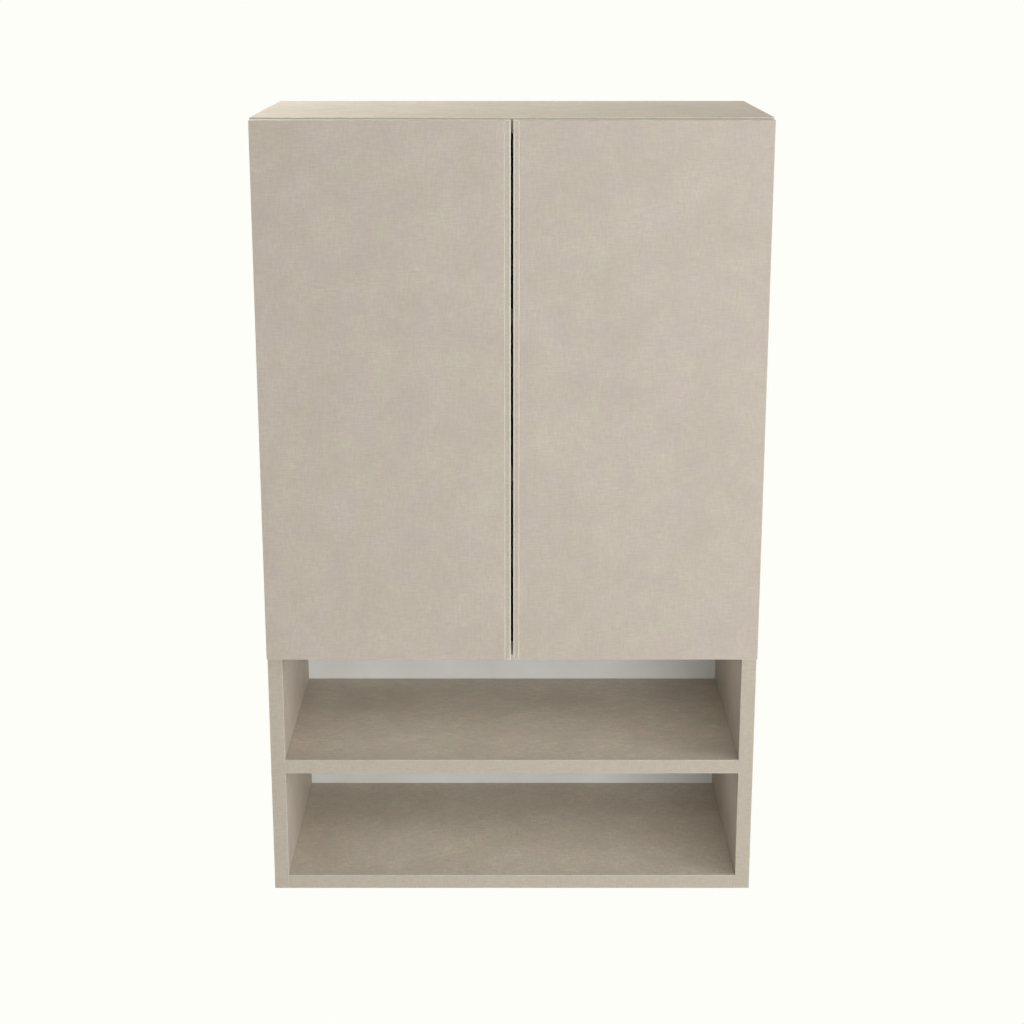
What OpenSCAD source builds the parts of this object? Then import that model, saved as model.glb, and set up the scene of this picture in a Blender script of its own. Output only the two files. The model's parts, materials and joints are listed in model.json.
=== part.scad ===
/* [Cabinet] */
// Width over the two side panels
cab_w = 600; // [560:10:800]
// Height of the cabinet
cab_h = 960; // [928:32:1088]
// Depth of the carcass, without the doors
cab_d = 310; // [280:5:360]
// Thickness of every board
board_t = 18; // [18:1:19]
// Clear height of each open niche
niche_h = 138; // [120:1:150]
// Thickness of the white back panel
back_t = 3; // [2.5:0.5:4]
// Space behind the back panel for the wall rail
rail_room = 10; // [9:1:14]

/* [Doors] */
// Thickness of a door
door_t = 18; // [18:1:20]
// Gap between a closed door and the carcass
door_gap = 2; // [2:0.5:3]
// Width of carcass edge left showing beside a door
side_reveal = 1.5; // [1:0.5:2]
// Gap between the two doors
centre_gap = 3; // [2:0.5:4]
// Distance of a door's top edge below the cabinet's top
top_reveal = 2; // [1:0.5:3]
// Width of the solid lipping along each meeting edge
lipping_w = 7; // [5:1:12]
// Thickness of the edge bands
band_t = 1; // [0.8:0.2:2]

/* [Fittings] */
// Distance of the wall screws below the top panel's underside
hang_in = 27; // [27:1:42]
// Distance between the outer wall screws
screw_outer = 480; // [400:10:480]
// Distance between the inner wall screws
screw_inner = 160; // [120:10:200]
// Height of each hinge from its end of the door
hinge_in = 98; // [80:1:110]
// Travel of a push latch
latch_travel = 38; // [20:1:40]

/* [Hidden] */
$fn = 48;
e = 0.1;              // a cut runs this far past the face it opens
slip = 0.05;          // a fitting is this much smaller than its bore
fit = 0.2;            // room around a part that is set in place
greige = "#beb4a8";
band = "#b9b09c";
board_white = "#e9e7e0";
zinc = "#b8bcc0";
nickel = "#c9c7c0";
timber = "#d9b98a";
plastic = "#8c8c8c";

// ---- levels and faces, worked out from the driving dimensions ----
x_out = cab_w / 2;
x_in = x_out - board_t;
y_front = -cab_d;
y_back = -rail_room - back_t;        // front face of the back panel
z_ceil = hang_in;                    // underside of the top panel
z_top = z_ceil + board_t;
z_bot = z_top - cab_h;
z_shelf = z_bot + board_t + niche_h; // underside of the niche shelf
z_floor = z_shelf + board_t + niche_h;
z_cup = z_floor + board_t;           // upper face of the cupboard floor
board_back = y_back - fit;           // the boards stop just short of the back panel
groove = 8.5;                        // depth of the groove that holds the back panel
panel_bite = 8;                      // how far the back panel runs into it

// Doors
door_z0 = z_floor + 1;
door_z1 = z_top - top_reveal;
door_x0 = -x_out + side_reveal;      // left door's hinge edge
door_x1 = -centre_gap / 2;           // left door's meeting edge
door_back = y_front - door_gap;
door_front = door_back - door_t;

// The row of 5 mm holes that hinges and shelf pins share
row_pitch = 32;
row_in = 37;
row_steps = floor((cab_d - row_in - 40) / row_pitch);
row_y = [y_front + row_in, y_front + row_in + row_steps * row_pitch];
hinge_low = door_z0 + hinge_in + 1;
row_z0 = hinge_low - row_pitch / 2;
row_n = floor((door_z1 - hinge_in - row_z0) / row_pitch) + 2;
hinge_z = [hinge_low, row_z0 + (row_n - 1.5) * row_pitch];
pin_rows = [4, 10];                  // rows that carry the two loose shelves
pin_r = 2.5;
row_deep = 12;
pin_drop = 2.7;                      // a shelf's underside above its row of holes
pin_in = 9;
pin_out = 8;
pin_collar_r = 3.6;
pin_collar_t = 0.8;

// Loose shelves
loose_gap = 1;
loose_front = y_front + 22;
loose_back = y_back - 4;

// Cam fittings
cam_r = 7.5;
cam_deep = 12.7;
cam_in = 34;
cam_hollow_r = 4.6;
cam_hollow = 7.4;                    // height of the hollow, and width of its mouth
cam_recess = [7.2, 1.2, 2.5];        // length, width and depth of the driver's cross
bolt_thread_r = 2.45;
bolt_bite = 11;
bolt_collar = [3, 3.4];              // length and radius
bolt_neck = [31, 2.2];
bolt_head = [4.5, 3];
bolt_hole_r = 4;
bore_end = 0.5;                      // a blind bore is this much deeper than its fitting
dowel_r = 4;
dowel_len = 30;
dowel_slot = 10;                     // depth of a dowel hole in a board's face
cam_y = [y_front + 45, board_back - 45];
dowel_off = 32;

// Wall hanging
rail_half = x_in - 12;
rail_low = -16;
rail_hole_r = 3.25;
rail_t = 2;
rail_step = 4;                       // how far the rail's lip stands off the wall
rail_lip_z = 22;
hanger_x = x_in - 20;
hanger_w = 36;
hanger_deep = 18;
hanger_y = y_back - 9;
hanger_peg = 10;
hanger_peg_z = [-38, -6];            // below the dowels of the top joint
hanger_z = [-46, z_ceil - 1];
hook_w = 22;
hook_t = 2;
hanger_peg_r = 5;
hanger_wall = 2;
hanger_front = board_back - hanger_deep; // front face of a hanger housing
hook_y = hanger_front + 7;
hook_slot_z = 14;                    // lower end of the slot that a hook passes through
hook_lip = 2;
hanger_screw_z = [-34, -10];
hanger_screw = [15, 2.5];            // length and radius
hanger_head = [3, 3.2];

// Push latches
latch_x = [-42, 42];
latch_w = 15;
latch_h = 14;
latch_len = latch_travel + 40;
latch_y = y_front + 4;               // front of a latch housing
latch_ear = 12;
latch_screw_y = latch_y + 52;
plunger_z = z_ceil - latch_h / 2;
plunger_r = 3.5;
strike_t = 1.2;
plunger_tip = 2;
plunger_end = 7;                     // room left behind a plunger that is pushed in
ear_t = 3;
ear_half = 7;
latch_screw_r = 1.35;
latch_head = [2, 2.2, 3.2];          // height and the two radii
strike_half = 8;
strike_hole_x = 5.5;
strike_hole_r = 1.2;

// Hinge cups
cup_r = 17.5;
cup_x = door_x0 + 4 + cup_r;         // centre of a hinge cup, left door
cup_deep = 13.2;
cup_flange_t = 1;
cup_screw_x = cup_x + 9.5;
cup_screw_z = 24;
cup_screw = [11, 1.45];              // length and radius
cup_head = [0.7, 3.4];

// Hinges. Plan positions are measured from the side panel's outer face and the carcass front.
arm_a = [35, 13.1];                  // inner link's pin on the arm
arm_c = [44.2, 4.3];                 // outer link's pin on the arm
cup_b = [10.6, -5.3];                // inner link's pin in the cup
cup_q = [12, -10.1];                 // outer link's pin in the cup
inner_bend = [22, -10.1];
outer_bend = [17, -12.3];
pin_small = 0.9;
pin_fit = 0.05;
link_r = 1.3;
eye_r = 2.4;
inner_half = 3.6;                    // half height of an inner link
outer_z = [4.2, 5.9];                // the outer link's two plates
cheek_z = [6.6, 8.1];                // the arm's two cheeks
slot_along = [0.13, 1.69];           // ends of the outer link's slot, along the link
slot_across = [-0.02, 0.87];         // and across it
slot_fit = 0.33;
slot_eye = 1.93;
link_dir = (cup_q - arm_c) / norm(cup_q - arm_c);
slot_ends = [for (i = [0, 1]) cup_q + slot_along[i] * link_dir
    + slot_across[i] * [-link_dir[1], link_dir[0]]];
cup_in_x = cup_x + x_out;
adjust_y = [34, 52];                 // the arm's two adjusting screws
plate_y = [24, 62];
plate_h = 6.5;
arm_top = 20;                        // arm's web above the side panel's face
arm_len = 64;
arm_eye = 3;
arm_web = 1.5;
plate_lift = 2;                      // thickness of a mounting plate's wings
plate_half = [6, 23];                // half sizes of the wings
plate_block = 6.2;                   // half height of a plate's raised block
plate_screw = [13.2, 2.45];
plate_head = [1.8, 4.2];
adjust_r = 2;
adjust_head = [2.2, 2.7];
cup_room = 9;                        // half height of the hollow in a cup
cup_pin_half = 10.4;

module mirror_x(side) {
    if (side > 0) mirror([1, 0, 0]) children();
    else children();
}

module both_sides() {
    children();
    mirror([1, 0, 0]) children();
}

module slab(x0, x1, y0, y1, z0, z1) {
    translate([x0, y0, z0]) cube([x1 - x0, y1 - y0, z1 - z0]);
}

// A cylinder along x that starts at x0 and runs in the +x direction
module rod_x(x0, y, z, len, r) {
    translate([x0, y, z]) rotate([0, 90, 0]) cylinder(h = len, r = r);
}

// A cylinder along y that starts at y0 and runs in the +y direction
module rod_y(x, y0, z, len, r) {
    translate([x, y0, z]) rotate([-90, 0, 0]) cylinder(h = len, r = r);
}

module rod_z(x, y, z0, len, r) {
    translate([x, y, z0]) cylinder(h = len, r = r);
}

// A cross recess for a screwdriver, cut upwards from z = 0: its length, width and depth
module cross_slot(size) {
    for (a = [0, 90]) rotate([0, 0, a]) translate([-size[0] / 2, -size[1] / 2, 0])
        cube([size[0], size[1], size[2] + e]);
}

// ---- fixings between the boards ----

// Draws its children at every board joint. Locally +x runs into the board or panel
// whose edge is joined, x = 0 is that edge, and +z faces the side the cam is set from.
module at_each_joint() {
    boards = [[z_cup - board_t / 2, 0], [z_shelf + board_t / 2, 180], [z_bot + board_t / 2, 180]];
    for (y = cam_y) {
        both_sides() {
            for (b = boards) translate([-x_in, y, b[0]]) rotate([b[1], 0, 0]) children();
            translate([-x_out + board_t / 2, y, z_ceil]) rotate([0, 90, 0]) children();
        }
    }
}

module dowel_place() {
    translate([0, dowel_off, 0]) rotate([0, 90, 0]) children();
}

// Everything that is drilled for one joint
module joint_holes() {
    rotate([0, -90, 0]) cylinder(h = bolt_bite + bore_end, r = bolt_thread_r + slip);
    rotate([0, 90, 0]) cylinder(h = cam_in, r = bolt_hole_r);
    translate([cam_in, 0, board_t / 2 - cam_deep]) cylinder(h = cam_deep + e, r = cam_r);
    dowel_place() translate([0, 0, -dowel_slot - bore_end]) cylinder(h = dowel_len + 2 * bore_end, r = dowel_r);
}

module cam_locks() {
    top = board_t / 2 - fit;
    low = board_t / 2 - cam_deep + fit;
    color(zinc) at_each_joint() translate([cam_in, 0, 0]) difference() {
        translate([0, 0, low]) cylinder(h = top - low, r = cam_r - 2 * slip);
        translate([0, 0, low - e]) cylinder(h = cam_hollow, r = cam_hollow_r);
        translate([-cam_r - 1, -cam_hollow / 2, low - e]) cube([cam_r + 1, cam_hollow, cam_hollow]);
        translate([0, 0, top - cam_recess[2]]) cross_slot(cam_recess);
    }
}

module cam_bolts() {
    color(nickel) at_each_joint() {
        rotate([0, -90, 0]) cylinder(h = bolt_bite, r = bolt_thread_r);
        rod_x(0, 0, 0, bolt_collar[0], bolt_collar[1]);
        rod_x(0, 0, 0, bolt_neck[0], bolt_neck[1]);
        rod_x(bolt_neck[0] - 1, 0, 0, bolt_head[0], bolt_head[1]);
    }
}

module wood_dowels() {
    color(timber) at_each_joint() dowel_place()
        translate([0, 0, -dowel_slot]) cylinder(h = dowel_len, r = dowel_r - slip);
}

// ---- carcass ----

module row_holes(side) {
    for (i = [0:row_n - 1], y = row_y)
        mirror_x(side) rod_x(-x_in - row_deep, y, row_z0 + i * row_pitch, row_deep + e, pin_r);
}

module side_panel(side) {
    difference() {
        mirror_x(side) slab(-x_out, -x_in, y_front + band_t, 0, z_bot + band_t, z_ceil);
        mirror_x(side) slab(-x_in - groove, -x_in + e, board_back, -rail_room + e, z_bot, z_ceil + e);
        row_holes(side);
        at_each_joint() joint_holes();
        mirror_x(side) for (z = hanger_peg_z)
            rod_x(-x_in - hanger_peg - bore_end, hanger_y, z, hanger_peg + bore_end + e, hanger_peg_r);
    }
}

module side_panel_left() {
    color(greige) side_panel(-1);
}

module side_panel_right() {
    color(greige) side_panel(1);
}

module top_panel() {
    color(greige) difference() {
        slab(-x_out + band_t, x_out - band_t, y_front + band_t, 0, z_ceil, z_top);
        slab(-x_in - groove, x_in + groove, board_back, -rail_room + e, z_ceil - e, z_ceil + groove);
        at_each_joint() joint_holes();
        for (x = latch_x, s = [-1, 1])
            rod_z(x + s * latch_ear, latch_screw_y, z_ceil - e, 10 + e, latch_screw_r + slip);
    }
}

// A board between the sides, banded along its front edge
module cross_board(z0) {
    difference() {
        slab(-x_in, x_in, y_front + band_t, board_back, z0, z0 + board_t);
        at_each_joint() joint_holes();
    }
}

module cupboard_floor() {
    color(greige) cross_board(z_floor);
}

module niche_shelf() {
    color(greige) cross_board(z_shelf);
}

module bottom_panel() {
    color(greige) cross_board(z_bot);
}

module back_panel() {
    color(board_white) difference() {
        slab(-x_in - panel_bite, x_in + panel_bite, y_back, -rail_room, z_bot + 1, z_ceil + panel_bite);
        both_sides() slab(-hanger_x - hook_w / 2 - 3, -hanger_x + hook_w / 2 + 3, y_back - e, -rail_room + e,
                          hook_slot_z, z_ceil - 0.5);
    }
}

module side_edge_bands() {
    color(band) both_sides() {
        slab(-x_out, -x_in, y_front, y_front + band_t, z_bot, z_ceil);
        slab(-x_out, -x_in, y_front + band_t, 0, z_bot, z_bot + band_t);
    }
}

module top_edge_bands() {
    color(band) {
        slab(-x_out, x_out, y_front, y_front + band_t, z_ceil, z_top);
        both_sides() slab(-x_out, -x_out + band_t, y_front + band_t, 0, z_ceil, z_top);
    }
}

module board_edge_bands() {
    color(band) for (z = [z_bot, z_shelf, z_floor])
        slab(-x_in, x_in, y_front, y_front + band_t, z, z + board_t);
}

// ---- loose shelves ----

function loose_z(i) = row_z0 + pin_rows[i] * row_pitch + pin_drop;

module loose_shelf(i) {
    slab(-x_in + loose_gap, x_in - loose_gap, loose_front + band_t, loose_back,
         loose_z(i), loose_z(i) + board_t);
}

module adjustable_shelf_lower() {
    color(greige) loose_shelf(0);
}

module adjustable_shelf_upper() {
    color(greige) loose_shelf(1);
}

module shelf_edge_bands() {
    color(band) for (i = [0, 1])
        slab(-x_in + loose_gap, x_in - loose_gap, loose_front, loose_front + band_t,
             loose_z(i), loose_z(i) + board_t);
}

module shelf_pins() {
    color(nickel) both_sides() for (r = pin_rows, y = row_y) {
        z = row_z0 + r * row_pitch;
        rod_x(-x_in - pin_in, y, z, pin_in, pin_r - slip);
        rod_x(-x_in, y, z, pin_collar_t, pin_collar_r);
        rod_x(-x_in, y, z, pin_out, pin_drop - 0.02);
    }
}

// ---- wall hanging ----
module wall_rail() {
    color(zinc) difference() {
        translate([-rail_half, 0, 0]) rotate([90, 0, 90]) linear_extrude(2 * rail_half) polygon([
            [0, rail_low], [0, 8], [-rail_step, 12], [-rail_step, rail_lip_z],
            [-rail_step - rail_t, rail_lip_z], [-rail_step - rail_t, 11.2], [-rail_t, 7.2], [-rail_t, rail_low]
        ]);
        for (x = [-screw_outer, -screw_inner, screw_inner, screw_outer])
            rod_y(x / 2, -rail_t - e, 0, rail_t + 2 * e, rail_hole_r);
    }
}

module hanger_housings() {
    x0 = -x_in + fit;
    color(plastic) both_sides() {
        difference() {
            slab(x0, x0 + hanger_w, hanger_front, board_back, hanger_z[0], hanger_z[1]);
            slab(x0 + hanger_wall, x0 + hanger_w - hanger_wall, hanger_front + hanger_wall, y_back,
                 hanger_z[0] + hanger_wall, hanger_z[1] - 1.2);
            for (z = hanger_screw_z)
                rod_y(-hanger_x, hanger_front - e, z, hanger_wall + 1, hanger_head[1] + fit);
        }
        for (z = hanger_peg_z) rod_x(-x_in - hanger_peg, hanger_y, z, hanger_peg + 1, hanger_peg_r - slip);
    }
}

module hanger_hooks() {
    color(zinc) both_sides() translate([-hanger_x - hook_w / 2, 0, 0]) difference() {
        rotate([90, 0, 90]) linear_extrude(hook_w) polygon([
            [hook_y, hanger_z[0] + 4], [hook_y, rail_lip_z + fit + hook_t], [-1.4, rail_lip_z + fit + hook_t],
            [-1.4, hook_slot_z], [-1.4 - hook_lip, hook_slot_z], [-1.4 - hook_lip, rail_lip_z + fit],
            [hook_y + hook_t, rail_lip_z + fit],
            [hook_y + hook_t, hanger_z[0] + 4]
        ]);
        for (z = hanger_screw_z) rod_y(hook_w / 2, hook_y - e, z, hook_t + 2 * e, hanger_screw[1] + e);
    }
}

module hanger_screws() {
    y0 = hanger_front + 1;
    color(nickel) both_sides() for (z = hanger_screw_z) difference() {
        union() {
            rod_y(-hanger_x, y0, z, hanger_head[0], hanger_head[1]);
            rod_y(-hanger_x, y0, z, hanger_screw[0], hanger_screw[1]);
        }
        translate([-hanger_x, y0 + 1.5, z]) rotate([90, 0, 0]) cross_slot([4.8, 0.9, 1.5]);
    }
}

// ---- push latches ----
module latch_housings() {
    color(plastic) for (x = latch_x) difference() {
        union() {
            slab(x - latch_w / 2, x + latch_w / 2, latch_y, latch_y + latch_len, z_ceil - latch_h, z_ceil);
            slab(x - latch_ear - 5, x + latch_ear + 5, latch_screw_y - ear_half, latch_screw_y + ear_half,
                 z_ceil - ear_t, z_ceil);
        }
        rod_y(x, latch_y - e, plunger_z, latch_len - 4 + e, plunger_r + fit + e);
        for (s = [-1, 1])
            rod_z(x + s * latch_ear, latch_screw_y, z_ceil - ear_t - e, ear_t + 2 * e, latch_screw_r + 0.35);
    }
}

module latch_screws() {
    color(nickel) for (x = latch_x, s = [-1, 1]) translate([x + s * latch_ear, latch_screw_y, 0]) {
        difference() {
            translate([0, 0, z_ceil - ear_t - latch_head[0]])
                cylinder(h = latch_head[0], r1 = latch_head[1], r2 = latch_head[2]);
            translate([-2, -0.4, z_ceil - ear_t - latch_head[0] - e]) cube([4, 0.8, 1]);
        }
        translate([0, 0, z_ceil - ear_t]) cylinder(h = 12.5, r = latch_screw_r);
    }
}

module latch_plunger(side) {
    y0 = door_back + strike_t + 0.3;
    y1 = y0 + plunger_tip;
    mirror_x(side) {
        rod_y(latch_x[0], y1, plunger_z, latch_y + latch_len - plunger_end - y1, plunger_r);
        rod_y(latch_x[0], y0, plunger_z, plunger_tip, plunger_r - 0.6);
    }
}

module latch_plunger_left() {
    color("white") latch_plunger(-1);
}

module latch_plunger_right() {
    color("white") latch_plunger(1);
}

// ---- doors ----
module door_leaf(side) {
    mirror_x(side) difference() {
        slab(door_x0 + band_t, door_x1 - lipping_w, door_front, door_back, door_z0 + band_t, door_z1 - band_t);
        for (z = hinge_z) {
            rod_y(cup_x, door_back - cup_deep - fit, z, cup_deep + fit + e, cup_r);
            for (s = [-1, 1])
                rod_y(cup_screw_x, door_back - cup_screw[0], z + s * cup_screw_z,
                      cup_screw[0] + e, cup_screw[1] + slip);
        }
    }
}

module door_leaf_left() {
    color(greige) door_leaf(-1);
}

module door_leaf_right() {
    color(greige) door_leaf(1);
}

module door_edge_bands(side) {
    mirror_x(side) {
        slab(door_x0, door_x0 + band_t, door_front, door_back, door_z0, door_z1);
        for (z = [door_z0, door_z1 - band_t])
            slab(door_x0 + band_t, door_x1 - lipping_w, door_front, door_back, z, z + band_t);
    }
}

module door_edge_bands_left() {
    color(band) door_edge_bands(-1);
}

module door_edge_bands_right() {
    color(band) door_edge_bands(1);
}

module door_lipping(side) {
    mirror_x(side) slab(door_x1 - lipping_w, door_x1, door_front, door_back, door_z0, door_z1);
}

module door_lipping_left() {
    color(band) door_lipping(-1);
}

module door_lipping_right() {
    color(band) door_lipping(1);
}

module strike_plate(side) {
    mirror_x(side) difference() {
        slab(latch_x[0] - strike_half, latch_x[0] + strike_half, door_back, door_back + strike_t,
             plunger_z - strike_half, plunger_z + strike_half);
        for (s = [-1, 1])
            rod_y(latch_x[0] + s * strike_hole_x, door_back - e, plunger_z, strike_t + 2 * e, strike_hole_r);
    }
}

module strike_plate_left() {
    color(zinc) strike_plate(-1);
}

module strike_plate_right() {
    color(zinc) strike_plate(1);
}

// ---- concealed hinges ----
module at_hinges(side) {
    for (z = hinge_z) mirror_x(side) translate([-x_out, y_front, z]) children();
}

// A straight strip from p to q, with square ends
module strip(p, q, r) {
    d = q - p;
    translate(p) rotate(atan2(d[1], d[0])) translate([0, -r]) square([norm(d), 2 * r]);
}

module disc(p, r) {
    translate(p) circle(r);
}

module between(z0, z1) {
    translate([0, 0, z0]) linear_extrude(z1 - z0) children();
}

// The same plate above and below the hinge's middle plane
module pair(zs) {
    between(zs[0], zs[1]) children();
    between(-zs[1], -zs[0]) children();
}

module inner_links(side) {
    at_hinges(side) between(-inner_half, inner_half) difference() {
        union() {
            strip(cup_b, inner_bend, link_r);
            strip(inner_bend, arm_a, link_r);
            disc(inner_bend, link_r + 0.2);
            for (p = [cup_b, arm_a]) disc(p, eye_r);
        }
        for (p = [cup_b, arm_a]) disc(p, pin_small + pin_fit);
    }
}

module outer_links(side) {
    at_hinges(side) pair(outer_z) difference() {
        union() {
            strip(arm_c, outer_bend, link_r);
            strip(outer_bend, cup_q, link_r);
            disc(outer_bend, link_r);
            disc(arm_c, eye_r);
            strip(slot_ends[0], slot_ends[1], slot_eye);
            for (p = slot_ends) disc(p, slot_eye);
        }
        disc(arm_c, pin_small + pin_fit);
        strip(slot_ends[0], slot_ends[1], pin_small + slot_fit);
        for (p = slot_ends) disc(p, pin_small + slot_fit);
    }
}

module hinge_arm() {
    base = board_t + plate_lift + 0.3;
    web = board_t + arm_top;
    pair(cheek_z) difference() {
        union() {
            for (p = [arm_a, arm_c]) disc(p, arm_eye);
            strip(arm_a, arm_c, arm_eye);
            strip(arm_c, [web - arm_eye, plate_y[0]], arm_eye);
            strip(arm_a, [base + 5, plate_y[0]], arm_eye);
            polygon([arm_a, arm_c, [web - arm_eye, plate_y[0] + 1], [base + 5, plate_y[0] + 1]]);
            translate([base, plate_y[0] - 3]) square([web - base, arm_len - plate_y[0] + 3]);
        }
        for (p = [arm_a, arm_c]) disc(p, pin_small + pin_fit);
    }
    difference() {
        between(-cheek_z[1], cheek_z[1]) translate([web - arm_web, plate_y[0] - 3])
            square([arm_web, arm_len - plate_y[0] + 3]);
        for (y = adjust_y) rod_x(web - 2, y, 0, 3, adjust_head[1] + e);
    }
}

module hinge_arms_left() {
    color(nickel) at_hinges(-1) hinge_arm();
}

module hinge_arms_right() {
    color(nickel) at_hinges(1) hinge_arm();
}

module arm_pins() {
    color(zinc) for (side = [-1, 1]) at_hinges(side)
        for (p = [arm_a, arm_c]) rod_z(p[0], p[1], -cheek_z[1], 2 * cheek_z[1], pin_small);
}

module mounting_plates() {
    color(zinc) for (side = [-1, 1]) at_hinges(side) difference() {
        union() {
            translate([board_t, row_in - plate_half[0], -plate_half[1]])
                cube([plate_lift, 2 * plate_half[0], 2 * plate_half[1]]);
            translate([board_t, plate_y[0] + 2, -plate_block])
                cube([plate_h, plate_y[1] - plate_y[0] - 2, 2 * plate_block]);
        }
        for (s = [-1, 1])
            rod_x(board_t - e, row_in, s * row_pitch / 2, plate_lift + 2 * e, plate_screw[1] + 0.15);
        for (y = adjust_y) rod_x(board_t - e, y, 0, plate_h + 2 * e, adjust_r + e);
    }
}

module plate_screws() {
    color(nickel) for (side = [-1, 1]) at_hinges(side)
        for (s = [-1, 1]) translate([board_t, row_in, s * row_pitch / 2]) rotate([0, 90, 0]) {
            translate([0, 0, plate_lift + fit - plate_screw[0]])
                cylinder(h = plate_screw[0], r = plate_screw[1]);
            difference() {
                translate([0, 0, plate_lift]) cylinder(h = plate_head[0], r = plate_head[1]);
                translate([0, 0, plate_lift + 0.6]) cross_slot([4.4, 1, 1.2]);
            }
        }
}

module hinge_adjusting_screws() {
    color(nickel) for (side = [-1, 1]) at_hinges(side) for (y = adjust_y)
        translate([0, y, 0]) rotate([0, 90, 0]) difference() {
            union() {
                translate([0, 0, board_t + plate_lift]) cylinder(h = arm_top - 3.7, r = adjust_r);
                translate([0, 0, board_t + arm_top - 1.9]) cylinder(h = adjust_head[0], r = adjust_head[1]);
            }
            translate([0, 0, board_t + arm_top - 0.6]) cross_slot([3.6, 0.8, 0.9]);
        }
}

module hinge_cup() {
    y = -door_gap;
    difference() {
        union() {
            rod_y(cup_in_x, y - cup_deep + e, 0, cup_deep - e, cup_r - 2 * slip);
            rod_y(cup_in_x, y, 0, cup_flange_t, cup_r + 1.5);
            translate([cup_in_x + 2, y, -cup_screw_z - 5]) cube([15, cup_flange_t, 2 * cup_screw_z + 10]);
        }
        intersection() {
            rod_y(cup_in_x, y - cup_deep + 1.2, 0, cup_deep + 1, cup_r - 1.1);
            translate([0, y - cup_deep + 1, -cup_room]) cube([cup_in_x * 2, cup_deep + 2, 2 * cup_room]);
        }
        for (p = [cup_b, cup_q])
            rod_z(p[0], p[1], -cup_pin_half - fit, 2 * (cup_pin_half + fit), pin_small + pin_fit);
        for (s = [-1, 1]) rod_y(cup_screw_x + x_out, y - e, s * cup_screw_z, 2, 2);
    }
}

module hinge_cups_left() {
    color(nickel) at_hinges(-1) hinge_cup();
}

module hinge_cups_right() {
    color(nickel) at_hinges(1) hinge_cup();
}

module cup_pins(side) {
    at_hinges(side) for (p = [cup_b, cup_q]) rod_z(p[0], p[1], -cup_pin_half, 2 * cup_pin_half, pin_small);
}

module cup_pins_left() {
    color(zinc) cup_pins(-1);
}

module cup_pins_right() {
    color(zinc) cup_pins(1);
}

module cup_screws(side) {
    at_hinges(side) for (s = [-1, 1]) translate([cup_screw_x + x_out, -door_gap, s * cup_screw_z])
        rotate([90, 0, 0]) difference() {
            union() {
                translate([0, 0, -cup_flange_t]) cylinder(h = cup_screw[0], r = cup_screw[1]);
                translate([0, 0, -cup_flange_t - cup_head[0]]) cylinder(h = cup_head[0], r = cup_head[1]);
            }
            translate([0, 0, -cup_flange_t - cup_head[0] - e]) cross_slot([3.6, 0.7, 0.5]);
        }
}

module cup_screws_left() {
    color(nickel) cup_screws(-1);
}

module cup_screws_right() {
    color(nickel) cup_screws(1);
}

module inner_links_left() {
    color(zinc) inner_links(-1);
}

module inner_links_right() {
    color(zinc) inner_links(1);
}

module outer_links_left() {
    color(zinc) outer_links(-1);
}

module outer_links_right() {
    color(zinc) outer_links(1);
}

side_panel_left();
side_panel_right();
top_panel();
cupboard_floor();
niche_shelf();
bottom_panel();
back_panel();
side_edge_bands();
top_edge_bands();
board_edge_bands();
adjustable_shelf_lower();
adjustable_shelf_upper();
shelf_edge_bands();
shelf_pins();
cam_locks();
cam_bolts();
wood_dowels();
wall_rail();
hanger_housings();
hanger_hooks();
hanger_screws();
hinge_arms_left();
hinge_arms_right();
arm_pins();
mounting_plates();
plate_screws();
hinge_adjusting_screws();
latch_housings();
latch_screws();
door_leaf_left();
door_edge_bands_left();
door_lipping_left();
hinge_cups_left();
cup_pins_left();
cup_screws_left();
strike_plate_left();
inner_links_left();
outer_links_left();
latch_plunger_left();
door_leaf_right();
door_edge_bands_right();
door_lipping_right();
hinge_cups_right();
cup_pins_right();
cup_screws_right();
strike_plate_right();
inner_links_right();
outer_links_right();
latch_plunger_right();
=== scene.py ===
# %% [markdown]
# # A hanging wall cabinet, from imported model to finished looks
# The cabinet comes ready made as named pieces, each in its right place. This lesson gives
# those pieces soft edges, real surfaces, light and a camera. Everything is in metres, with
# +Z up, the wall at y = 0 and the doors facing -Y.

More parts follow.
